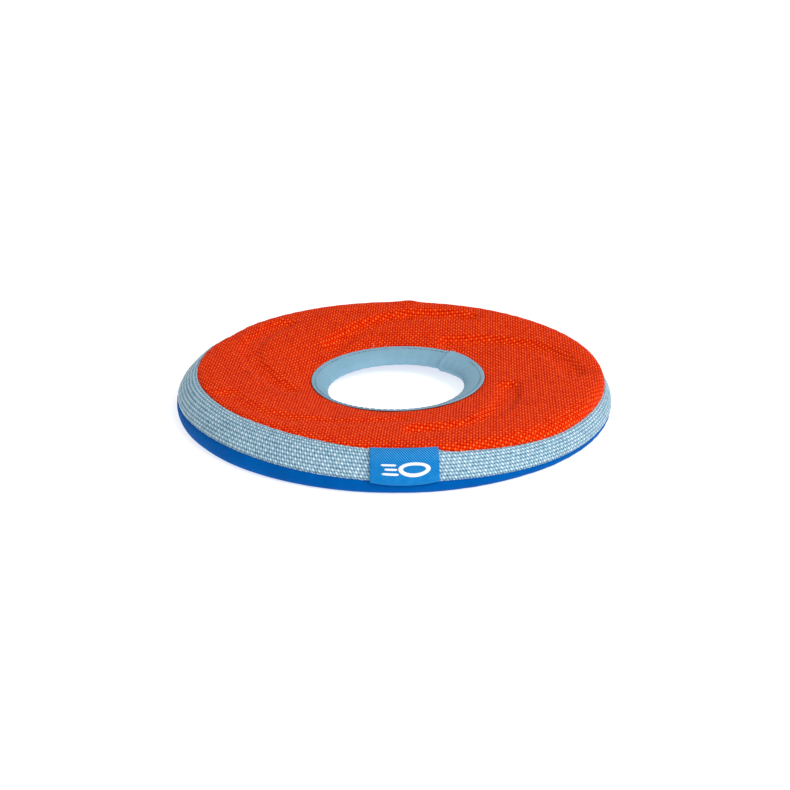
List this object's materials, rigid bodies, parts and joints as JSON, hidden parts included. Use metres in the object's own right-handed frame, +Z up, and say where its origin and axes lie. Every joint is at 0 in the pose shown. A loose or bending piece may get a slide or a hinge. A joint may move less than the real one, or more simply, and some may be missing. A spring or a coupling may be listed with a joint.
{
  "type": "flying ring",
  "caption": "Soft sewn throwing ring: cloth panels over a foam ring with curved slots, a tape-bound hole and a folded woven label on the rim.",
  "frame": {"origin": "centre of the flat underside", "axes": "+Z up through the hole, -Y towards the label on the rim"},
  "size_m": [0.2166, 0.2195, 0.0188],
  "materials": {
    "top_cloth": "coarse plain-woven nylon, orange-red",
    "band_cloth": "coarse plain-woven nylon, pale blue",
    "bottom_cloth": "smooth tightly woven polyester, deep blue",
    "binding_tape": "fine smooth woven tape, light blue",
    "foam": "closed-cell foam, off-white",
    "seam_thread": "polyester sewing thread",
    "tape_thread": "polyester sewing thread, pale",
    "label_weave": "woven damask label, bright blue"
  },
  "bodies": {
    "ring": {"top_panel": "top_cloth", "side_band": "band_cloth", "bottom_panel": "bottom_cloth", "hole_binding": "binding_tape", "foam_base": "foam", "foam_top": "foam", "top_seam_thread": "seam_thread", "bottom_seam_thread": "seam_thread", "binding_top_thread": "tape_thread", "binding_bottom_thread": "tape_thread", "band_join_thread": "seam_thread"},
    "label": {"label": "label_weave"}
  },
  "joints": [
    {"name": "label_flap", "type": "hinge", "parent": "ring", "child": "label", "pos_m": [0.00283, -0.10122, 0.01793], "axis": [-0.9996, -0.0279, 0], "range_deg": [0, 110]}
  ]
}
